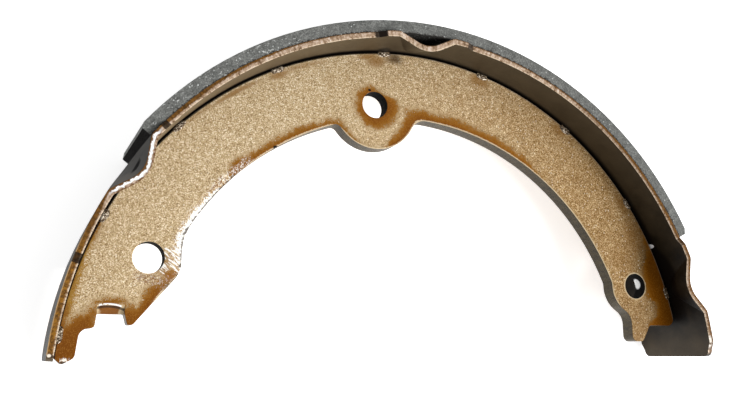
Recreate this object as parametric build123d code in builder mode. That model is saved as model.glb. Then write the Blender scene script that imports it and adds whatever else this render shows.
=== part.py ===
"""Parking brake shoe: T-section of web and table, with a bonded friction lining."""
import os
from math import asin, cos, degrees, radians, sin, sqrt, tan

from build123d import *

# ---- Driving dimensions: millimetres, and degrees round the drum axis ----
drum_d = 210.0            # bore of the drum, so the outside of a new lining
shoe_w = 30.0             # width of the lining and of the table under it
lining_t = 3.6            # friction lining
table_t = 1.7             # rolled steel table
web_t = 4.75              # stamped web
web_depth = 20.4          # radial depth of the web's plain arc
weld_gap = 0.5            # the web stands this far off the table between its welds

table_ends = (4.0, 176.5)
lining_ends = (26.65, 142.0)
lining_skew = 2.2                 # the far end of the lining is cut askew by this much
lead_l, lead_h = 1.7, 0.9         # lead chamfer at each end of the lining
table_corner_r = 2.2              # rounded corners of the table's bare ends

weld_angles = (16.5, 35.8, 55.4, 75.5, 95.6, 116.0, 135.7, 154.1, 172.7)
weld_w = 3.6                      # width of a weld projection

# Contact nibs, three on each edge of the table: start, crimp and end of each
nibs = ((5.2, 17.4, 26.6), (81.7, 90.8, 99.6), (138.7, 147.0, 163.0))
nib_h = 1.2                       # a nib stands this far past the edge
nib_ramp = 2.4                    # length of the slope at each end of it
crimp_w = 17.8                    # crimp in a nib: its width at the edge of the table,
crimp_slope = 26.0                # slope of its sides,
crimp_r = 8.0                     # radius at its foot
crimp_shoulder_r = 2.5            # and at its shoulders,
crimp_run = 12.0                  # and how far in from the edge it runs out

# Holes: how far outside the web's inner edge, angle, diameter
hold_down = (4.15, 98.8, 8.2)
lever_pivot = (5.15, 157.0, 8.4)
return_spring = (8.45, 20.2, 8.3)
hold_down_boss_r = 13.7           # boss round the hold-down hole
spring_corner_r = 9.4             # corner of the web round the spring hole

# Ends of the web: widths are measured in from its outer edge, heights from the
# line through the drum axis
seat_h = 17.2                     # seat for the adjuster
toe_h = 11.9                      # toe beside the seat
toe_from, toe_to = 15.3, 19.5
toe_rake = 3.1
shoulder_in = 30.5                # shoulder beside the lever pivot hole
shoulder_h = 29.2
slot_from, slot_to = 9.8, 16.6    # strut slot
slot_top_h, slot_mouth_h = 18.0, 15.2
slot_bevel = 2.1                  # bevel along the top of the slot, on the upper face
slot_lip = 1.3                    # flat beside the slot's mouth
heel_in = 5.1                     # heel outside the slot
heel_w = 3.1
heel_h = 5.2
heel_rise = 1.7
draft = 0.8                       # the slot and the heel widen by this much downwards

# ---- What follows from them ----
lining_r = drum_d / 2
table_out = lining_r - lining_t
table_in = table_out - table_t
web_r = table_in - weld_gap
web_in = web_r - web_depth
height = shoe_w + 2 * nib_h


def polar(radius, angle):
    """Point at a radius and an angle round the drum axis."""
    return (radius * cos(radians(angle)), radius * sin(radians(angle)))


def half_cut(radius, centre_r, boss_r):
    """Half the angle that a boss circle takes out of a circle round the drum axis."""
    along = (centre_r**2 + radius**2 - boss_r**2) / (2 * centre_r)
    return degrees(asin(sqrt(radius**2 - along**2) / radius))


def sector(r_in, r_out, start, end):
    """Face of a ring sector round the drum axis."""
    with BuildSketch() as face:
        with BuildLine():
            CenterArc((0, 0), r_in, start, end - start)
            CenterArc((0, 0), r_out, start, end - start)
            Line(polar(r_in, start), polar(r_out, start))
            Line(polar(r_in, end), polar(r_out, end))
        make_face()
    return face.sketch


# The shoe lies flat on its lower nibs: drum axis upright, centred in plan, base at zero.
drum = Plane(origin=(0, -(heel_h + lining_r) / 2, height / 2))

# ---- Web: one stamping, a crescent with a boss, seat, toe, slot and heel ----
holes = [(polar(web_in + out, angle), bore / 2) for out, angle, bore in
         (hold_down, lever_pivot, return_spring)]
spring_c = polar(web_in + return_spring[0], return_spring[1])
boss_half = half_cut(web_in, web_in + hold_down[0], hold_down_boss_r)
boss_start = polar(web_in, hold_down[1] - boss_half)
boss_foot = polar(web_in + hold_down[0] - hold_down_boss_r, hold_down[1])
boss_end = polar(web_in, hold_down[1] + boss_half)
corner_half = half_cut(web_in, web_in + return_spring[0], spring_corner_r)
corner_end = polar(web_in, return_spring[1] + corner_half)
corner_mid = (spring_c[0] - spring_corner_r * cos(radians(35)),
              spring_c[1] - spring_corner_r * sin(radians(35)))

seat_out = (sqrt(web_r**2 - seat_h**2), seat_h)
seat_in = (web_r - toe_from + toe_rake, seat_h)
toe_out, toe_in = (web_r - toe_from, toe_h), (web_r - toe_to, toe_h)
toe_top = (toe_in[0],
           spring_c[1] - sqrt(spring_corner_r**2 - (spring_c[0] - toe_in[0]) ** 2))
shoulder_top = (shoulder_in - web_r, sqrt(web_in**2 - (web_r - shoulder_in) ** 2))
shoulder = (shoulder_in - web_r, shoulder_h)
lip_out = (slot_to + draft + slot_lip - web_r, slot_mouth_h)
lip_in = (slot_to + draft - web_r, slot_mouth_h)
slot_in, slot_out = (slot_to - web_r, slot_top_h), (slot_from - web_r, slot_top_h)
ledge_in = (slot_from - draft / 2 - web_r, slot_mouth_h - draft)
ledge_out = (heel_in + draft - web_r, slot_mouth_h - 1.5 * draft)
heel_in_top = (heel_in - web_r, heel_h + heel_rise)
heel_foot = (heel_in - heel_w - web_r, heel_h)
heel_out = (-sqrt(web_r**2 - (heel_h + heel_rise) ** 2), heel_h + heel_rise)

corners = {seat_out: 2.4, seat_in: 1.0, toe_out: 1.5, toe_in: 2.0, toe_top: 5.0,
           corner_end: 3.0, boss_start: 5.0, boss_end: 2.0, shoulder_top: 16.0,
           shoulder: 7.0, lip_out: 1.0, lip_in: 0.5, slot_in: 0.5, slot_out: 0.5,
           ledge_in: 1.0, ledge_out: 2.5, heel_in_top: 1.6, heel_foot: 1.0, heel_out: 0.5}

with BuildPart(drum) as web:
    with BuildSketch(drum.offset(-web_t / 2)):
        with BuildLine():
            ThreePointArc(seat_out, (0, web_r), heel_out)
            Polyline(seat_out, seat_in, toe_out, toe_in, toe_top)
            ThreePointArc(toe_top, corner_mid, corner_end)
            RadiusArc(corner_end, boss_start, -web_in)
            ThreePointArc(boss_start, boss_foot, boss_end)
            RadiusArc(boss_end, shoulder_top, -web_in)
            Polyline(shoulder_top, shoulder, lip_out, lip_in, slot_in, slot_out,
                     ledge_in, ledge_out, heel_in_top, heel_foot, heel_out)
        make_face()
        for corner, radius in corners.items():
            fillet(vertices().sort_by_distance(corner)[0], radius)
        # weld projections, cut to the curve of the table that they are welded to
        with Locations(*(Location((*polar(web_r, a), 0), (0, 0, a)) for a in weld_angles)):
            Rectangle(4 * weld_gap, weld_w)
        Circle(table_in, mode=Mode.INTERSECT)
        for centre, radius in holes:
            with Locations(centre):
                Circle(radius, mode=Mode.SUBTRACT)
    extrude(amount=web_t)
    slot_corner = drum.from_local_coords(Vector(*slot_out, web_t / 2))
    with BuildSketch(Plane(origin=slot_corner, x_dir=(0, 1, 0), z_dir=(1, 0, 0))):
        with BuildLine():
            Polyline((-slot_bevel, -2 * slot_bevel), (slot_bevel, 0), (-slot_bevel, 0),
                     close=True)
        make_face()
    extrude(amount=slot_to - slot_from, mode=Mode.SUBTRACT)

# ---- Crimp in a nib: a rounded V pressed towards the drum axis ----
shoulder_a = degrees(asin(crimp_w / 2 / table_out))
crimp_shoulder = polar(table_out, 90 - shoulder_a)
crimp_point = crimp_shoulder[1] - crimp_w / 2 * tan(radians(crimp_slope))
crimp_depth = (table_out - crimp_point
               - crimp_r * (1 / cos(radians(crimp_slope)) - 1))
crimp_edge = (crimp_shoulder[0] + 2.5 * cos(radians(shoulder_a)),
              crimp_shoulder[1] - 2.5 * sin(radians(shoulder_a)))


def crimp_tool(sunk):
    """Solid outside a crimp's surface, or outside one sunk below it, at both edges."""
    with BuildPart() as tool:
        with BuildSketch(Plane.XY.offset(height / 2)):
            with BuildLine() as outline:
                Polyline((0, crimp_point), crimp_shoulder, crimp_edge, (0, table_out + crimp_w))
                mirror(about=Plane.YZ)
            make_face()
            fillet(vertices().sort_by(Axis.Y)[0], crimp_r)
            for x in (-crimp_shoulder[0], crimp_shoulder[0]):
                fillet(vertices().sort_by_distance((x, crimp_shoulder[1]))[0],
                       crimp_shoulder_r)
            if sunk:
                offset(amount=sunk)
        extrude(amount=1.2 * crimp_run, dir=(0, crimp_depth / crimp_run, -1))
        mirror(about=Plane.XY)
    return tool.part


with BuildPart() as crimp_inside:
    add(crimp_tool(table_t))
    Cylinder(table_out, 2 * height, mode=Mode.INTERSECT)

# ---- Slopes down to the edge of the table, at both ends of every nib ----
with BuildPart() as slopes:
    for start, crimp, end in nibs:
        for angle, turn in ((start, 1), (end, -1)):
            x, y = turn * cos(radians(angle)), turn * sin(radians(angle))
            with BuildSketch(Plane(origin=(*polar(table_out, angle), shoe_w / 2),
                                   x_dir=(-y, x, 0), z_dir=(x, y, 0))):
                Polygon((-1, 0), (0, 0), (2 * nib_ramp, 2 * nib_h), (-1, 2 * nib_h),
                        align=None)
            extrude(amount=2 * table_t, both=True)
    mirror(about=Plane.XY)

# ---- Table: rolled strip, three nibs on each edge, each with a crimp ----
with BuildPart(drum) as table:
    with BuildSketch(drum.offset(-shoe_w / 2)):
        add(sector(table_in, table_out, *table_ends))
    extrude(amount=shoe_w)
    fillet(table.edges().filter_by(GeomType.LINE).filter_by(Axis.Z, reverse=True),
           table_corner_r)
    with BuildSketch(drum.offset(-height / 2)):
        for start, crimp, end in nibs:
            add(sector(table_in, table_out, start, end))
    extrude(amount=height)
    with Locations(*(Location((0, 0, 0), (0, 0, crimp - 90)) for start, crimp, end in nibs)):
        add(crimp_inside.part)
        add(crimp_tool(0), mode=Mode.SUBTRACT)
    with Locations((0, 0, 0)):
        add(slopes.part, mode=Mode.SUBTRACT)

# ---- Lining: friction pad bonded round the table, with a lead chamfer at each end ----
def past_end(turn, skew):
    """Space past an end of the lining, which is at angle zero on the upper edge."""
    with BuildPart() as space:
        with BuildSketch(Plane.XY.offset(shoe_w / 2)):
            Polygon((table_out - 1, 0), (lining_r - lead_h, 0), (lining_r, -turn * lead_l),
                    (lining_r + 2, -turn * lead_l), (lining_r + 2, turn * 20),
                    (table_out - 1, turn * 20), align=None)
        extrude(amount=1.1 * shoe_w, dir=(0, skew / shoe_w, -1))
    return space.part


with BuildPart(drum) as lining:
    with BuildSketch(drum.offset(-shoe_w / 2)):
        add(sector(table_out, lining_r, lining_ends[0] - 5, lining_ends[1] + 5))
    extrude(amount=shoe_w)
    for end, turn, skew in zip(lining_ends, (-1, 1), (0, lining_skew)):
        with Locations(Location((0, 0, 0), (0, 0, end))):
            add(past_end(turn, skew), mode=Mode.SUBTRACT)

web.part.label = "web"
table.part.label = "table"
lining.part.label = "lining"

os.makedirs("parts", exist_ok=True)
export_step(web.part, "parts/web.step")
export_step(table.part, "parts/table.step")
export_step(lining.part, "parts/lining.step")
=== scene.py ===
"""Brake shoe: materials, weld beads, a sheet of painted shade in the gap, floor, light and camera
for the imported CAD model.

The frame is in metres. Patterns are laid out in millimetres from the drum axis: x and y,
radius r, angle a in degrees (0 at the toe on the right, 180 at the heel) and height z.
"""
import math
import random

import bmesh
import bpy
from mathutils import Matrix, Vector


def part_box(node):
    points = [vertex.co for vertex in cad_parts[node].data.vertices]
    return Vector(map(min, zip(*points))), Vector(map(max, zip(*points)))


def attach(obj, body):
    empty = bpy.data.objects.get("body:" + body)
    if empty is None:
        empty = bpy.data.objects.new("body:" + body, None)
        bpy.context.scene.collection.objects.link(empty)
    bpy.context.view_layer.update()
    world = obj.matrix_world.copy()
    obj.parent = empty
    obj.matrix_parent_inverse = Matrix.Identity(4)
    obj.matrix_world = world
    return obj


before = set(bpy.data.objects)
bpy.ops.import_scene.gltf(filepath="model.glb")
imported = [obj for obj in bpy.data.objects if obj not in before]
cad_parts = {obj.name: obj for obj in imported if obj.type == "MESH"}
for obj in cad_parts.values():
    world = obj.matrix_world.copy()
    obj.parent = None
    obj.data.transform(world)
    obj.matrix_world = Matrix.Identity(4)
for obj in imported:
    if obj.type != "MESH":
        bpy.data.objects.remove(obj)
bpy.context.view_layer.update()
scene = bpy.context.scene

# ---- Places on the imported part, in millimetres and degrees about the drum axis ----
DRUM_Y = -0.0551          # the drum axis, on which the arcs are centred, in metres
MM = 0.001
WEB_IN, WEB_OUT = 78.8, 99.2
TABLE_OUT, LINING_R = 101.4, 105.0
WEB_DEGREE, TABLE_DEGREE = 1.72, 1.74      # length of a degree of arc at web edge and table
BOSS_HOLE, PIVOT_HOLE, TOE_HOLE = (-12.69, 81.97), (-77.28, 32.80), (81.88, 30.13)
BOSS_R, TOE_LOBE_R, TOE_HOLE_R = 13.7, 9.4, 4.15
SHOULDER_X = -68.7        # the straight edge beside the pivot hole
SLANT = ((-81.3, 15.2), (-0.743, 0.669))   # slanted edge under it: a point and its normal
TOE_STEP = (79.7, 11.9)
CRIMPS = (17.4, 90.8, 147.0)
CRIMP_FLOOR_R, CRIMP_RISE, CRIMP_ROUND = 96.67, 0.488, 3.4
WELDS = (16.5, 35.8, 55.4, 75.5, 95.6, 116.0, 135.7, 154.1, 172.7)

# ---- Marks on the web: places in x and y, or the two ends of a line ----
RING, RING_R, RING_GAP = (-12.2, 81.5), 6.9, (-9.4, 88.4)   # varnish round the middle hole
HEEL_SLANT, HEEL_X = ((-97.4, 15.4), (0.526, -0.85)), -89.3     # varnish fills the heel
SLOT_CORNER, SLOT_TOP = (-81.6, 16.8), ((-89.6, 20.9), (-83.0, 21.2))
PIVOT_CORNER = (-71.4, 28.2)
TOE_FROM, TOE_TO = (62.0, 34.0), (76.0, 14.0)   # where the painted shade at the toe starts and ends
WEB_SOOT = (-6.4, 97.3)
OCHRE_STREAK = ((-96.9, 18.5), (-92.9, 37.0))
BEVEL_X, ARCH_X, HIGHLIGHT_X = -86.3, -86.6, -86.2  # middles of the marks on the slot's bevel
SHADOW_Y, HIGHLIGHT_Y = 19.85, 20.45                # heights of its painted shadow line and its painted highlight line
HEEL_TIP, UNDER_TIP = (-96.4, 6.45), (-96.5, 5.75)
HOLE_GLEAM_AT, HOLE_GLEAM_Z = (85.8, 31.3), 15.0      # painted gleam on the toe hole's wall
SCUFF_AND_SPARKLE_LINE = ((-79.5, 27.6), (-70.8, 25.8))
SCRATCHES = (-71.6, 32.2)

# ---- Marks on the table: angle and height, angle alone, or x and y on its edge ----
GLEAM, TABLE_SMUDGE, CREASE_SHADE = (26.1, 18.0), (96.0, 20.4), (146.4, 27.7)
BRIGHT_CRIMP, NIB_SHADE = 146.5, 99.35
BALL_HIGHLIGHT, BALL_SHADE = (-100.5, 7.5), (-100.45, 7.1)

# ---- Widths and strengths that follow the angle: (degrees, value) ----
# width of the brown varnish along the inner and the outer edge of the web
INNER_VARNISH = ((0, -1.5), (20, -1.0), (40, -1.2), (50, -0.8), (57, 0.6), (61, 2.0), (70, 2.3),
                 (80, 2.7), (87, 3.0), (93, 3.2), (97, 0.6), (101, -0.6), (106, 1.2), (112, 1.5),
                 (120, 2.2), (128, 1.9), (133, 3.0), (136, -1.0), (156, -1.0), (159, 2.2),
                 (163, 3.0), (166, 3.4), (170, 4.6), (180, 4.0))
OUTER_VARNISH = ((0, 9.0), (10, 11.0), (12.5, 7.2), (15, 5.8), (17, 8.8), (19.5, 8.2), (22.5, 6.8),
                 (25, 2.8), (28, 1.0), (35, -0.6), (50, -1.5), (57, -0.8), (65, -1.5), (90, -1.5),
                 (97, 0.0), (101, -1.5), (136, -1.5), (150, -1.5), (155, 0.5), (162, 0.3),
                 (168, 0.7), (173, 3.0), (180, 4.0))
# how far the inner edge is rolled over, and how far it is worn bright, partly as a painted
# highlight
EDGE_ROLL = ((0, 0.7), (100, 0.8), (118, 1.0), (128, 1.2), (134, 3.2), (143, 3.4), (150, 3.2),
             (157, 4.2), (161, 1.4), (180, 0.8))
EDGE_WEAR_AND_HIGHLIGHT = ((0, -2.0), (125, -2.0), (131, -0.9), (137, 0.1), (141, 1.1), (146, 1.5), (151, 1.5),
             (155, 0.5), (158, -0.6), (162, -2.0), (180, -2.0))
# painted light and shade inside the table, rise of the soot and painted shade at its toe, width of
# varnish on its edge
TABLE_SHADE = ((0, 0.24), (6, 0.20), (12, 0.03), (25, 0.06), (45, 0.20), (65, 0.24), (85, 0.20),
               (100, 0.26), (125, 0.45), (150, 0.7), (180, 0.7))
TOE_SOOT_AND_SHADE = ((0, 0.0), (9, 0.5), (11, 4.5), (19, 4.5), (25, 1.0), (30, 0.0), (180, 0.0))
TABLE_VARNISH = ((0, 0.9), (20, 0.95), (30, 1.1), (38, 1.0), (50, 0.8), (60, 0.5), (80, 0.3),
                 (95, 0.2), (110, 0.3), (120, 0.6), (130, 0.9), (136, 1.1), (141, 0.6), (152, 0.6),
                 (155, 1.2), (165, 1.4), (180, 1.4))
# heat stains on the web: angle, radius, half length along the arc, half width, strength
HEAT_STAINS = ((116.2, 97.4, 3.0, 1.1, 1.0), (112.0, 97.9, 9.0, 0.6, 0.7),
               (124.5, 97.9, 8.0, 0.65, 1.0), (132.0, 98.3, 5.0, 0.5, 0.6),
               (97.4, 96.6, 2.8, 1.8, 1.0), (98.8, 98.0, 3.4, 0.9, 1.0),
               (75.8, 97.0, 3.6, 1.7, 0.9), (56.5, 97.2, 3.0, 1.5, 0.9),
               (36.5, 97.0, 4.0, 1.6, 0.8), (29.0, 95.5, 7.0, 4.0, 0.7),
               (27.0, 88.0, 6.0, 5.0, 0.35), (157.0, 79.5, 4.0, 1.5, 0.7))
# small dark spots on the web: place and reach
DARK_SPOTS = (((-43.4, 65.7), 0.75), ((-14.5, 86.4), 0.45))

WHITE = "ffffff"


def lin(hexcode):
    """Linear colour from a hex code."""
    parts = [int(hexcode[i:i + 2], 16) / 255 for i in (0, 2, 4)]
    return (*[p / 12.92 if p <= 0.04045 else ((p + 0.055) / 1.055) ** 2.4 for p in parts], 1.0)


class Field:
    """A number, colour or vector on a surface. Arithmetic on it adds Math nodes."""

    def __init__(self, net, socket):
        self.net, self.socket = net, socket

    def math(self, operation, *others, clamp=False):
        """Field from one Math node that has this field first."""
        return self.net.math(operation, self, *others, clamp=clamp)

    def __add__(self, other):
        return self.math("ADD", other)

    def __sub__(self, other):
        return self.math("SUBTRACT", other)

    def __rsub__(self, other):
        return self.net.math("SUBTRACT", other, self)

    def __mul__(self, other):
        return self.math("MULTIPLY", other)

    def __truediv__(self, other):
        return self.math("DIVIDE", other)

    def __abs__(self):
        return self.math("ABSOLUTE")

    def swing(self, reach):
        """Noise between 0 and 1 turned into a swing of that reach about zero."""
        return self.math("MULTIPLY_ADD", reach, -reach / 2)

    def step(self, low, high, out_low=0.0, out_high=1.0):
        """Smooth step between two limits, which may run downwards."""
        node = self.net.add("ShaderNodeMapRange", interpolation_type="SMOOTHSTEP")
        for key, item in (("Value", self), ("From Min", low), ("From Max", high),
                          ("To Min", out_low), ("To Max", out_high)):
            self.net.put(node.inputs[key], item)
        return Field(self.net, node.outputs[0])

    def between(self, start, full, last, end):
        """One inside a band and zero outside it, with a smooth step at either side."""
        return self.step(start, full) * self.step(end, last)


def highest(first, *others):
    """The highest of several fields or numbers; the first is a field."""
    for other in others:
        first = first.math("MAXIMUM", other)
    return first


def lowest(first, *others):
    """The lowest of several fields or numbers; the first is a field."""
    for other in others:
        first = first.math("MINIMUM", other)
    return first


def squares(first, second):
    """Sum of two squares."""
    return first * first + second * second


def length(first, second):
    """Length of a vector from its two parts."""
    return squares(first, second).math("SQRT")


def from_point(x, y, place, stretch=1.0):
    """Distance from a point; a stretch above one makes it grow more slowly along x."""
    return length((x - place[0]) / stretch, y - place[1])


def from_line(x, y, start, end):
    """Distance from a straight piece of line."""
    way = Vector(end) - Vector(start)
    along = ((x - start[0]) * (way.x / way.length_squared)).math(
        "ADD", (y - start[1]) * (way.y / way.length_squared), clamp=True)
    return length(x - (along * way.x + start[0]), y - (along * way.y + start[1]))


def beyond(x, y, point, normal):
    """Distance past a straight edge through a point, along the edge's normal."""
    return (x - point[0]) * normal[0] + (y - point[1]) * normal[1]


class Net:
    """Node tree of one material, built with short calls."""

    def __init__(self, name):
        self.mat = bpy.data.materials.new(name)
        self.mat.use_nodes = True
        self.tree = self.mat.node_tree
        self.bsdf = self.tree.nodes["Principled BSDF"]
        self.here = Field(self, self.add("ShaderNodeTexCoord").outputs["Object"])
        normal = self.add("ShaderNodeNewGeometry").outputs["True Normal"]
        self.facing = self.split(Field(self, normal))

    def add(self, kind, **settings):
        """New node of a kind, with its settings."""
        node = self.tree.nodes.new(kind)
        for key, value in settings.items():
            setattr(node, key, value)
        return node

    def put(self, socket, value):
        """Link a value to a socket, or set the socket to a number or a hex colour."""
        if isinstance(value, Field):
            self.tree.links.new(value.socket, socket)
        else:
            socket.default_value = lin(value) if isinstance(value, str) else value

    def math(self, operation, *values, clamp=False):
        """Field from one Math node."""
        node = self.add("ShaderNodeMath", operation=operation, use_clamp=clamp)
        for socket, value in zip(node.inputs, values):
            self.put(socket, value)
        return Field(self, node.outputs[0])

    def split(self, vector):
        """The three parts of a vector."""
        node = self.add("ShaderNodeSeparateXYZ")
        self.put(node.inputs[0], vector)
        return [Field(self, socket) for socket in node.outputs]

    def join(self, *values):
        """Vector from its three parts."""
        node = self.add("ShaderNodeCombineXYZ")
        for socket, value in zip(node.inputs, values):
            self.put(socket, value)
        return Field(self, node.outputs[0])

    def mix(self, amount, first, second):
        """First colour where the amount is zero, second where it is one."""
        node = self.add("ShaderNodeMix", data_type="RGBA", blend_type="MIX")
        for index, value in ((0, amount), (6, first), (7, second)):
            self.put(node.inputs[index], value)
        return Field(self, node.outputs[2])

    def ramp(self, value, *stops):
        """Colour read off a ramp of (place, hex colour) stops."""
        node = self.add("ShaderNodeValToRGB")
        elements = node.color_ramp.elements
        while len(elements) < len(stops):
            elements.new(0.5)
        for element, (place, colour) in zip(elements, stops):
            element.position = place
            element.color = lin(colour)
        self.put(node.inputs[0], value)
        return Field(self, node.outputs[0])

    def curve(self, angle, points):
        """Value read off a smooth curve through (degrees, value) points, up to a half turn."""
        half_turn = 180.0
        low = min(height for place, height in points)
        high = max(height for place, height in points)
        node = self.add("ShaderNodeFloatCurve")
        line = node.mapping.curves[0]
        while len(line.points) < len(points):
            line.points.new(0.5, 0.5)
        for point, (place, height) in zip(line.points, points):
            point.location = (place / half_turn, (height - low) / (high - low))
        node.mapping.update()
        self.put(node.inputs["Value"], angle / half_turn)
        return Field(self, node.outputs[0]).math("MULTIPLY_ADD", high - low, low)

    def noise(self, scale, detail, rough, vector=None):
        """Noise between 0 and 1, with so many waves to a metre, or to a unit of the vector."""
        node = self.add("ShaderNodeTexNoise")
        for key, value in (("Vector", vector or self.here), ("Scale", scale), ("Detail", detail),
                           ("Roughness", rough)):
            self.put(node.inputs[key], value)
        return Field(self, node.outputs["Fac"])

    def grains(self, scale):
        """Distance from the nearest grain's middle, and three random numbers of that grain."""
        node = self.add("ShaderNodeTexVoronoi")
        self.put(node.inputs["Vector"], self.here)
        self.put(node.inputs["Scale"], scale)
        return (Field(self, node.outputs["Distance"]),
                self.split(Field(self, node.outputs["Color"])))

    def drum(self):
        """Millimetres from the drum axis in x and y, radius, angle in degrees, and height."""
        x, y, z = (part * (1 / MM) for part in self.split(self.here))
        y = y - DRUM_Y / MM
        return x, y, length(x, y), y.math("ARCTAN2", x).math("DEGREES"), z

    def round_facing(self, angle):
        """How far the surface faces outward, and along the arc."""
        turn = angle.math("RADIANS")
        cosine, sine = turn.math("COSINE"), turn.math("SINE")
        return (self.facing[0] * cosine + self.facing[1] * sine,
                self.facing[1] * cosine - self.facing[0] * sine)

    def relief(self, height, edge):
        """Normal from a height in metres, over corners rounded by the edge radius."""
        bevel = self.add("ShaderNodeBevel", samples=4)
        bevel.inputs["Radius"].default_value = edge
        bump = self.add("ShaderNodeBump")
        bump.inputs["Strength"].default_value = 1.0
        bump.inputs["Distance"].default_value = 1.0
        self.put(bump.inputs["Height"], height)
        self.tree.links.new(bevel.outputs[0], bump.inputs["Normal"])
        self.tree.links.new(bump.outputs[0], self.bsdf.inputs["Normal"])

    def finish(self, **values):
        """Set the shader's sockets and return the material."""
        for key, value in values.items():
            self.put(self.bsdf.inputs[key.replace("_", " ")], value)
        return self.mat


def web_material():
    """Gold coated stamping: bright speckle, brown varnish along edges and holes, worn edge."""
    n = Net("web")
    x, y, r, a, z = n.drum()
    wander = n.noise(300.0, 4.0, 0.6)
    medium = n.noise(1100.0, 2.0, 0.5)
    fine = n.noise(3000.0, 2.0, 0.7)
    spark = n.noise(2400.0, 3.0, 0.8)
    dents = n.noise(1700.0, 2.0, 0.6)
    grit = fine.swing(5.0) + medium.swing(2.0)
    upright = abs(n.facing[2])
    flat = upright.step(0.45, 0.62)
    boss, pivot, toe = (from_point(x, y, hole) for hole in (BOSS_HOLE, PIVOT_HOLE, TOE_HOLE))

    # distance in from the inner edge: plain arc, boss, shoulder, lobe and step at the toe
    shoulder = lowest(SHOULDER_X - x, beyond(x, y, *SLANT))
    from_inner = r - WEB_IN
    for lobe, blend in ((BOSS_R - boss, 5.0), (shoulder, 3.2), (TOE_LOBE_R - toe, 1.0),
                        (lowest(x - TOE_STEP[0], y - TOE_STEP[1]), 3.0)):
        from_inner = from_inner.math("SMOOTH_MAX", lobe, blend)

    # how far inside a pool of varnish: along the edges, round the middle hole, at the heel,
    # beside and above the strut slot, and in the corner under the pivot hole
    ring_gap = from_point(x, y, RING_GAP).step(6.0, 1.5, 0.0, 3.2)
    depth = highest(n.curve(a, INNER_VARNISH) - from_inner,
                    n.curve(a, OUTER_VARNISH) - (WEB_OUT - r),
                    RING_R - ring_gap - from_point(x, y, RING),
                    lowest(beyond(x, y, *HEEL_SLANT), HEEL_X - x),
                    3.6 - from_point(x, y, SLOT_CORNER),
                    0.7 - from_line(x, y, *SLOT_TOP),
                    1.2 - from_point(x, y, PIVOT_CORNER, 1.8)) + wander.swing(3.6)
    pool = (depth + grit).step(-0.1, 0.15)
    thick = (depth + medium.swing(2.0)).step(0.0, 3.0)

    # bare coating: mottled gold with bright flecks, darker and browner towards the stepped end,
    # partly the coat's own tone and partly painted shade from the table wall
    tone = fine * 0.8 + medium * 0.2
    pale = n.ramp(tone, (0.35, "7d6440"), (0.45, "b4996f"), (0.54, "d0b78f"), (0.64, "f7ebd2"))
    deep = n.ramp(tone, (0.35, "5b3f1c"), (0.45, "926e40"), (0.54, "b08c5a"), (0.64, "ecd5a8"))
    # darker towards the toe: partly the coat's tone, partly painted shade
    gold = n.mix((x + wander.swing(90.0)).step(-45.0, 75.0), pale, deep)
    fleck, pick = n.grains(950.0)
    fleck = fleck.step(0.24, 0.10) * pick[0].step(0.50, 0.57)
    gold = n.mix(fleck * 0.8, gold, "fbf2dc")

    # heat stains, painted shade at the toe, soot beside a weld and an ochre streak at the heel
    stains = []
    for angle, radius, half_length, half_width, strength in HEAT_STAINS:
        away = squares((a - angle) * (WEB_DEGREE / half_length), (r - radius) / half_width)
        stains.append((away - grit * 0.6).step(1.9, -0.3) * strength)
    stain = highest(highest(*stains) * 0.75, (depth + grit).step(-1.6, 0.0) * 0.3)
    gold = n.mix(stain, gold, "8b5e20")
    # painted shade at the toe, beside the table wall
    toe_shade = x.step(TOE_FROM[0], TOE_TO[0]) * y.step(TOE_FROM[1], TOE_TO[1])
    gold = n.mix(toe_shade * 0.42, gold, "6d5230")
    smudge = from_point(x, y, WEB_SOOT, 1.9) + wander.swing(3.0)
    gold = n.mix(smudge.step(2.5, 0.3, 0.0, 0.85), gold, "4c351a")
    ochre = (from_line(x, y, *OCHRE_STREAK) + grit).step(2.2, 0.6)
    gold = n.mix(ochre * 0.85, gold, "a0741a")

    # varnish over it, pale rims along the inner edges and the toe hole, painted highlight and
    # painted shade along the outer edge, small dark spots
    brown = n.ramp(thick, (0.0, "895c22"), (0.4, "814e0c"), (1.0, "754204"))
    brown = n.mix(fine.step(0.5, 0.62) * 0.30, brown, "b07c34")
    face = n.mix(pool, gold, brown)
    rim = lowest(abs(TOE_HOLE_R - toe), abs(from_inner)) + fine.swing(1.0)
    face = n.mix(rim.step(0.45, 0.25) * 0.7, face, "e8d6b2")
    # painted highlight along the outer edge on the toe side, painted shade along it on the heel
    # side
    outer_edge_highlight_and_shade = (WEB_OUT - r).step(0.45, 0.2) * a.step(100.0, 92.0, 0.9, 0.55)
    face = n.mix(outer_edge_highlight_and_shade, face, n.mix(a.step(92.0, 100.0), "8d8474", "0d0a07"))
    for place, reach in DARK_SPOTS:
        face = n.mix(from_point(x, y, place, 1.4).step(reach, reach * 0.6), face, "140d06")

    # bevel over the strut slot: bare at both sides, varnish in the middle, a painted shadow line
    # and a painted highlight line along the top
    bevel = upright.step(0.96, 0.88) * flat
    middle = abs(x - BEVEL_X) + wander.swing(3.0)
    face = n.mix(bevel, face, n.mix(middle.step(2.9, 2.1), "cdb48c", "7e4c12"))
    arch = x - ARCH_X
    arch = arch * arch * 0.05 + y
    shadow = abs(arch - SHADOW_Y).step(0.4, 0.2)
    face = n.mix(shadow * bevel * 0.8, face, "2a1806")
    # painted highlight along the top of the bevel
    slot_highlight = abs(arch - HIGHLIGHT_Y).step(0.30, 0.14) * abs(x - HIGHLIGHT_X).step(3.0, 2.6)
    face = n.mix(slot_highlight * medium.step(0.36, 0.42), face, WHITE)

    # painted highlight on the heel's tip, with a painted shade line under it
    under_tip_shade = from_point(x, y, UNDER_TIP, 3.4) + fine.swing(0.8)
    face = n.mix(under_tip_shade.step(0.38, 0.22), face, "4a3b29")
    tip_highlight = from_point(x, y, HEEL_TIP, 2.2) + fine.swing(1.6)
    face = n.mix(tip_highlight.step(0.48, 0.30), face, "fdf8ee")

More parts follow.
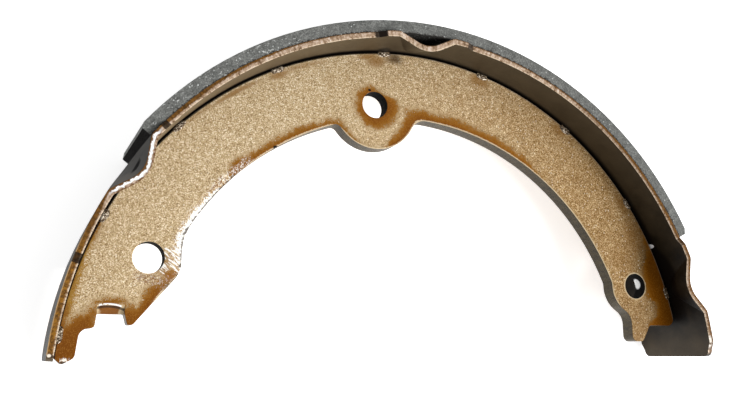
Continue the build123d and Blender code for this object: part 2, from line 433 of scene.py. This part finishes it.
    # walls: sheared grey steel under a thin brown coat, painted shade in the holes, one painted
    # gleam in the toe hole
    sheared = n.noise(900.0, 4.0, 0.7, n.join(a * 0.0015, 0.0, z * 0.0003))
    wall = n.ramp(sheared, (0.3, "2a2215"), (0.7, "50452f"))
    # painted shade in the holes
    hole_shade = lowest(boss, pivot, toe).step(4.8, 4.4)
    wall = n.mix(hole_shade, wall, "070504")
    # painted gleam on the toe hole's wall
    hole_gleam = squares(from_point(x, y, HOLE_GLEAM_AT) / 1.9, (z - HOLE_GLEAM_Z) / 1.5)
    wall = n.mix(hole_gleam.step(1.2, 0.5), wall, WHITE)
    colour = n.mix(flat, wall, face)

    # dark scuffs with white sparkle, a painted highlight, where the worn edge starts and under the
    # pivot hole
    sharp_edge = highest(r - WEB_IN, shoulder)
    scuffs_and_sparkle = (highest(sharp_edge, 0.0) + wander.swing(3.0)).step(3.0, 2.0)
    scuffs_and_sparkle = scuffs_and_sparkle * a.between(128.5, 131.0, 139.0, 143.0)
    under_hole = from_line(x, y, *SCUFF_AND_SPARKLE_LINE) + grit
    under_hole = under_hole.step(1.9, 0.9)
    dark_scuffs = highest(scuffs_and_sparkle, under_hole) * flat * dents.step(0.54, 0.46)
    colour = n.mix(dark_scuffs, colour, "8a6334")
    # white sparkle: painted highlights
    sparkle_highlights = highest(scuffs_and_sparkle, under_hole * 0.35) * flat * spark.step(0.53, 0.58)
    colour = n.mix(sparkle_highlights, colour, "fffaf0")

    # inner edge worn bright on the pivot side, partly as a painted highlight, scratches beside the
    # hole, a painted shade line along the edge
    scraped = n.noise(1.0, 3.0, 0.6, n.join(x * 1.1 + y * 1.4, x * 0.3 - y * 0.24, 0.0))
    patch = from_point(x, y, SCRATCHES).step(5.4, 3.2, -3.0, 0.0) + scraped.swing(10.0) - 0.2
    edge_wear_and_highlight = (n.curve(a, EDGE_WEAR_AND_HIGHLIGHT) - sharp_edge + spark.swing(8.0)
                 + a.step(120.0, 128.0, -20.0, 0.0))
    wear_and_highlight = highest(edge_wear_and_highlight, patch)
    fringe = wear_and_highlight.step(-1.3, -0.5) * flat * dents.step(0.52, 0.46)
    colour = n.mix(fringe * 0.6, colour, "8f6c48")
    # worn bright, partly as a painted highlight
    colour = n.mix(wear_and_highlight.step(-0.1, 0.25) * flat * 0.95, colour, "fdfaf4")
    # painted shade line along the sharp inner edge
    edge_shade_line = (abs(sharp_edge) + medium.swing(2.0)).step(0.4, 0.15)
    colour = n.mix(edge_shade_line * a.between(130.0, 136.0, 158.0, 163.0) * 0.85, colour, "3f3222")

    # relief: rolled inner edge, raised varnish, grain of the coating
    roll_w = n.curve(a, EDGE_ROLL)
    rolled = highest(1.0 - highest(from_inner, 0.0) / roll_w, 0.0)
    roll = rolled * rolled * roll_w * -0.00016
    bumps = tone * (1.0 - pool * 0.85) * 0.00020 + rolled * spark * 0.0003
    n.relief(roll + pool * 0.00006 + bumps, 0.00035)
    coating_rough = (fine - 0.5) * 0.5 + 0.42
    return n.finish(Base_Color=colour, Metallic=(1.0 - pool) * flat * 0.35,
                    Roughness=highest((pool * flat).step(0.0, 1.0, coating_rough, 0.2),
                                      hole_shade * (1.0 - flat)),
                    Specular_IOR_Level=0.2)


def table_material():
    """Dark glossy coating, grey outside, with pinkish sheared edges and brown varnish on them."""
    n = Net("table")
    x, y, r, a, z = n.drum()
    wander = n.noise(140.0, 4.0, 0.6)
    fine = n.noise(1300.0, 3.0, 0.6)
    upright = abs(n.facing[2])
    cut = upright.step(0.72, 0.85)
    inside = n.round_facing(a)[0].step(0.2, -0.2)

    # inner face: painted light and shade, lighter to the left, soot and painted shade along the
    # web, one painted gleam and one smudge
    inner = n.mix(n.curve(a, TABLE_SHADE) + wander.swing(0.24), "090603", "7c6a50")
    under_web = highest(a - 110.0, 0.0) * 0.25 + z
    # soot and painted shade along the web
    soot_and_shade = (z - n.curve(a, TOE_SOOT_AND_SHADE)).step(21.6, 19.4) * under_web.step(11.0, 13.2)
    inner = n.mix(soot_and_shade * a.between(9.0, 11.5, 175.0, 177.0), inner, "050302")
    gleam = squares((a - GLEAM[0]) * (TABLE_DEGREE / 0.8), (z - GLEAM[1]) / 2.1)
    inner = n.mix(gleam.step(1.1, 0.8), inner, WHITE)
    smudge = length((a - TABLE_SMUDGE[0]) * TABLE_DEGREE, z - TABLE_SMUDGE[1])
    smudge = smudge + wander.swing(2.0)
    inner = n.mix(smudge.step(2.6, 1.2, 0.0, 0.8), inner, "0d0804")

    # outer face, with a brown stain, and painted shade in the left crimp's crease
    outer = n.ramp(wander, (0.3, "15120e"), (0.7, "2e2b25"))
    foot = a.between(146.9, 148.3, 149.0, 151.5) * z.step(22.0, 29.0, 0.0, 0.45)
    outer = n.mix(foot, outer, "3e3019")
    # painted shade in the crimp's crease
    crimp_crease_shade = length((a - CREASE_SHADE[0]) * (TABLE_DEGREE / 1.71), z - CREASE_SHADE[1]) + fine.swing(0.8)
    crimp_crease_shade = crimp_crease_shade.step(1.5, 0.6)
    outer = n.mix(crimp_crease_shade, outer, "020201")
    skin = n.mix(inside, outer, inner)

    # sheared edge: streaks run across the thickness, darker on the right
    across = n.join(a * 1.9, r * 0.35, 0.0)
    streak = n.noise(0.9, 3.0, 0.6, across) * 0.5 + n.noise(1500.0, 3.0, 0.7) * 0.5
    edge = n.ramp(streak, (0.36, "654d37"), (0.45, "9f846a"), (0.55, "c2a891"), (0.66, "ecdfd1"))
    left, right = a.step(157.0, 163.0), a.step(66.0, 52.0)
    edge = n.mix(right * 0.45, edge, "513d26")

    # depth under the outer surface, which dips in a rounded V at each crimp
    sunk = TABLE_OUT - r
    for middle in CRIMPS:
        turned = (a - middle).math("RADIANS")
        aside = r * turned.math("SINE")
        floor_r = (aside * aside + CRIMP_ROUND).math("SQRT") * CRIMP_RISE + CRIMP_FLOOR_R
        dip = (floor_r - r * turned.math("COSINE")) * 0.9
        sunk = lowest(sunk, highest(dip, abs(aside).step(10.0, 11.0, 0.0, 9.0)))

    # varnish along the outer part of the edge, tan lines at its borders, a painted highlight along
    # the inner corner
    ripple = n.noise(5.0, 4.0, 0.6, across).swing(1.6)
    coat = (n.curve(a, TABLE_VARNISH) - sunk + ripple).step(-0.12, 0.12)
    varnish = n.ramp(fine, (0.35, "4a300f"), (0.7, "7d5422"))
    varnish = n.mix(streak.step(0.47, 0.56) * left * 0.6, varnish, "a87424")
    edge = n.mix(coat, edge, varnish)
    edge = n.mix(sunk.step(0.30, 0.12) * left * 0.8, edge, "cdab7e")
    from_crimp = abs(a - BRIGHT_CRIMP)
    # painted highlight along the inner corner of the cut edge
    inner_corner_highlight = sunk.step(1.35, 1.5) * streak.step(0.42, 0.52) * from_crimp.step(5.0, 7.0)
    edge = n.mix(inner_corner_highlight * right.step(0.0, 1.0, 0.7, 0.45), edge, "dfcbb0")

    # painted highlight in a ragged band on the left crimp, painted shade on the slopes at the
    # nibs' ends
    shiny = from_crimp.step(6.5, 5.0)
    edge = n.mix(shiny * streak.step(0.55, 0.45), edge, "6a4826")
    # painted highlight in a ragged band
    ragged_highlight = sunk + streak.swing(2.4)
    edge = n.mix(shiny * ragged_highlight.between(0.45, 0.60, 1.1, 1.25), edge, WHITE)
    # painted shade on the slopes at the nibs' ends
    slope_shade = upright.step(0.97, 0.90) * cut
    edge = n.mix(slope_shade * right.step(0.0, 1.0, 0.92, 0.4), edge,
                 n.ramp(fine, (0.4, "0c0703"), (0.65, "35230f")))

    # single marks: painted shade beside the middle nib, a painted highlight with painted shade
    # round it at the heel, painted glints at the toe
    # painted shade beside the middle nib
    beside_nib_shade = abs(a - NIB_SHADE) + streak.swing(1.0)
    edge = n.mix(beside_nib_shade.step(1.15, 0.75, 0.0, 0.92), edge, "120a04")
    edge = n.mix(from_point(x, y, BALL_SHADE).step(0.8, 0.5, 0.0, 0.8), edge, "33200c")
    # painted highlight at the heel end
    edge = n.mix(from_point(x, y, BALL_HIGHLIGHT, 1.2).step(0.50, 0.25), edge, "e6dac8")
    # painted glints at the toe
    toe_glints = a.between(5.4, 5.9, 7.6, 8.2) * streak.step(0.48, 0.53) * sunk.step(0.5, 0.8)
    edge = n.mix(toe_glints * 0.7, edge, "f6f0e6")

    n.relief(streak * cut * 0.00022 + wander * 0.00010, 0.0003)
    gloss = inside.step(0.0, 1.0, crimp_crease_shade * 0.45 + 0.55, 0.45)
    return n.finish(Base_Color=n.mix(cut, skin, edge),
                    Metallic=cut * (1.0 - coat) * (1.0 - slope_shade) * 0.2,
                    Roughness=cut.step(0.0, 1.0, gloss, 0.38), Specular_IOR_Level=0.15)


def lining_material():
    """Dark grey friction material with pale and dark grains; the cut ends are black."""
    n = Net("lining")
    r, a, z = n.drum()[2:]
    broad = n.noise(500.0, 3.0, 0.7)
    fine = n.noise(2300.0, 3.0, 0.7)
    base = n.ramp(broad * 0.35 + fine * 0.65, (0.34, "484946"), (0.5, "686966"),
                  (0.66, "8f908c"))
    grain, pick = n.grains(1300.0)
    pale = grain.step(0.32, 0.16) * pick[0].step(0.86, 0.92)
    base = n.mix(pale * 0.8, base, "cdd0cd")
    grain, pick = n.grains(700.0)
    dark = grain.step(0.26, 0.12) * pick[1].step(0.93, 0.97)
    base = n.mix(dark * 0.8, base, "1c1c1a")

    # chips along the pivot side, and a dark ragged seam against the table
    chips = n.noise(1.0, 4.0, 0.8, n.join(a * 1.3, r * 1.7, z))
    base = n.mix(chips.step(0.60, 0.66) * a.step(104.0, 118.0) * 0.9, base, "e4e6e3")
    seam = r - TABLE_OUT + n.noise(1400.0, 3.0, 0.7).swing(2.4)
    base = n.mix(seam.step(0.35, 0.1) * 0.85, base, "1d1610")

    # black cut ends, and faint rubbing along the friction face
    end = abs(n.round_facing(a)[1]).step(0.35, 0.75)
    base = n.mix(end, base, n.ramp(fine, (0.4, "030202"), (0.7, "100d0b")))
    rub = n.noise(6.0, 3.0, 0.6, n.join(a * 0.12, z * 2.2, 0.0))
    rub = r.step(LINING_R - 0.15, LINING_R - 0.02) * rub
    base = n.mix(rub * 0.55, base, "383936")

    n.relief(fine * 0.00025 + (pale * 0.00008 - dark * 0.0002), 0.0003)
    return n.finish(Base_Color=base, Roughness=highest(end, fine.step(0.3, 0.8, 0.62, 0.85)),
                    Specular_IOR_Level=0.2)


def bead_material():
    """Burnt weld metal with bright grains."""
    n = Net("weld")
    fine = n.noise(2200.0, 4.0, 0.7)
    n.relief(fine * 0.0003, 0.0001)
    return n.finish(Base_Color=n.ramp(fine, (0.40, "1f150c"), (0.52, "6b5232"), (0.60, "e8dcc8")),
                    Metallic=0.3, Roughness=0.35)


def shade_sheet_material():
    """Near black and matt: painted shade for the sheet in the gap."""
    n = Net("shade_sheet")
    fine = n.noise(1500.0, 3.0, 0.6)
    n.relief(fine * 0.0002, 0.0001)
    return n.finish(Base_Color=n.ramp(fine, (0.4, "050403"), (0.7, "1c140b")),
                    Roughness=fine.step(0.3, 0.7, 0.9, 0.6), Specular_IOR_Level=0.1)


def weld_beads(material):
    """Metal squeezed up at each projection weld, a lumpy half moon on both faces of the web."""
    middle_r = 0.0988         # metres from the drum axis, at the web's outer edge
    sink = 0.0001             # metres that their middles lie under the web's face
    farthest = 1.0            # millimetres outward, where the table cuts them off flat
    rng = random.Random(7)
    low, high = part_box("web")
    for number, angle in enumerate(WELDS):
        turn = Matrix.Rotation(math.radians(angle), 4, "Z")
        for side, face, lift in (("top", high[2], 1), ("under", low[2], -1)):
            long, wide = rng.uniform(2.0, 2.5), rng.uniform(0.8, 1.05)
            rise = rng.uniform(0.4, 0.6)
            phase = rng.uniform(0, 6.28)
            mesh = bmesh.new()
            bmesh.ops.create_icosphere(mesh, subdivisions=4, radius=1.0)
            for v in mesh.verts:
                px, py, pz = v.co
                lump = (1 + 0.10 * math.sin(5 * py + phase)
                        + 0.07 * math.sin(9 * px + 3 * py + phase))
                outward = min(px * wide * lump, farthest)
                v.co = Vector((outward, py * long, pz * rise * lump)) * MM
                v.co.x += middle_r
            mesh.transform(Matrix.Translation((0, DRUM_Y, face - lift * sink)) @ turn)
            data = bpy.data.meshes.new(f"weld_bead_{side}_{number}")
            mesh.to_mesh(data)
            mesh.free()
            data.polygons.foreach_set("use_smooth", [True] * len(data.polygons))
            data.materials.append(material)
            bead = bpy.data.objects.new(data.name, data)
            scene.collection.objects.link(bead)
            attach(bead, "root")


def gap_shade_sheet(material):
    """A near black sheet of painted shade that closes the narrow gap between web and table."""
    first, last, steps = 12.5, 175.5, 163                                 # degrees
    inner_r, outer_r, bottom, top = 0.09915, 0.09975, 0.0150, 0.0176      # metres
    corners = ((inner_r, bottom), (outer_r, bottom), (outer_r, top), (inner_r, top))
    points, faces = [], []
    for step in range(steps + 1):
        angle = math.radians(first + (last - first) * step / steps)
        points += [(radius * math.cos(angle), radius * math.sin(angle) + DRUM_Y, height)
                   for radius, height in corners]
        if step:
            old, new = 4 * step - 4, 4 * step
            faces += [(old + i, old + (i + 1) % 4, new + (i + 1) % 4, new + i) for i in range(4)]
    end = 4 * steps
    faces += [(3, 2, 1, 0), (end, end + 1, end + 2, end + 3)]
    data = bpy.data.meshes.new("gap_shade_sheet")
    data.from_pydata(points, [], faces)
    data.materials.append(material)
    shade_sheet = bpy.data.objects.new("gap_shade_sheet", data)
    scene.collection.objects.link(shade_sheet)
    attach(shade_sheet, "root")


def softbox(name, place, target, size, watts):
    """Rectangular area light that points at a target."""
    data = bpy.data.lights.new(name, "AREA")
    data.shape = "RECTANGLE"
    data.size, data.size_y = size
    data.energy = watts
    lamp = bpy.data.objects.new(name, data)
    lamp.location = place
    lamp.rotation_euler = (Vector(target) - Vector(place)).to_track_quat("-Z", "Y").to_euler()
    scene.collection.objects.link(lamp)


# ---- The shoe ----
for node, material in (("web", web_material()), ("table", table_material()),
                       ("lining", lining_material())):
    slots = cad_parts[node].data.materials
    slots.clear()
    slots.append(material)
weld_beads(bead_material())
# painted shade: a near black sheet in the gap between web and table
gap_shade_sheet(shade_sheet_material())

# ---- Floor: pale paper that glows a little, so it stays white round the shoe ----
FLOOR_HALF = 3            # metres
floor_mesh = bpy.data.meshes.new("floor")
floor_mesh.from_pydata([(u * FLOOR_HALF, v * FLOOR_HALF, 0)
                        for u, v in ((-1, -1), (1, -1), (1, 1), (-1, 1))], [], [(0, 1, 2, 3)])
floor = bpy.data.objects.new("floor", floor_mesh)
scene.collection.objects.link(floor)
paper = bpy.data.materials.new("paper")
paper.use_nodes = True
for key, value in (("Base Color", (0.9, 0.9, 0.9, 1)), ("Roughness", 0.9),
                   ("Emission Color", (1, 1, 1, 1)), ("Emission Strength", 0.68)):
    paper.node_tree.nodes["Principled BSDF"].inputs[key].default_value = value
floor_mesh.materials.append(paper)

# ---- Light ----
studio = bpy.data.worlds.new("studio")
scene.world = studio
studio.use_nodes = True
background = studio.node_tree.nodes["Background"]
background.inputs["Color"].default_value = (1.0, 1.0, 1.0, 1)
background.inputs["Strength"].default_value = 0.5
softbox("key", (1.3, -1.1, 1.7), (0, 0, 0), (1.3, 1.3), 50.0)
softbox("rim", (0.75, -0.28, 0.28), (-0.05, 0, 0.015), (0.5, 0.2), 4.0)

# ---- Camera, as fitted to the photograph ----
camera = bpy.data.objects.new("camera", bpy.data.cameras.new("camera"))
camera.data.sensor_width = 36.0
camera.data.lens = 40.2123
camera.data.clip_start = 0.01
camera.matrix_world = Matrix(((0.919971, -0.070150, -0.385657, -0.108408),
                              (-0.001210, 0.983343, -0.181754, -0.047482),
                              (0.391983, 0.167675, 0.904563, 0.242930),
                              (0, 0, 0, 1)))
scene.collection.objects.link(camera)
scene.camera = camera
scene.view_settings.view_transform = "Standard"
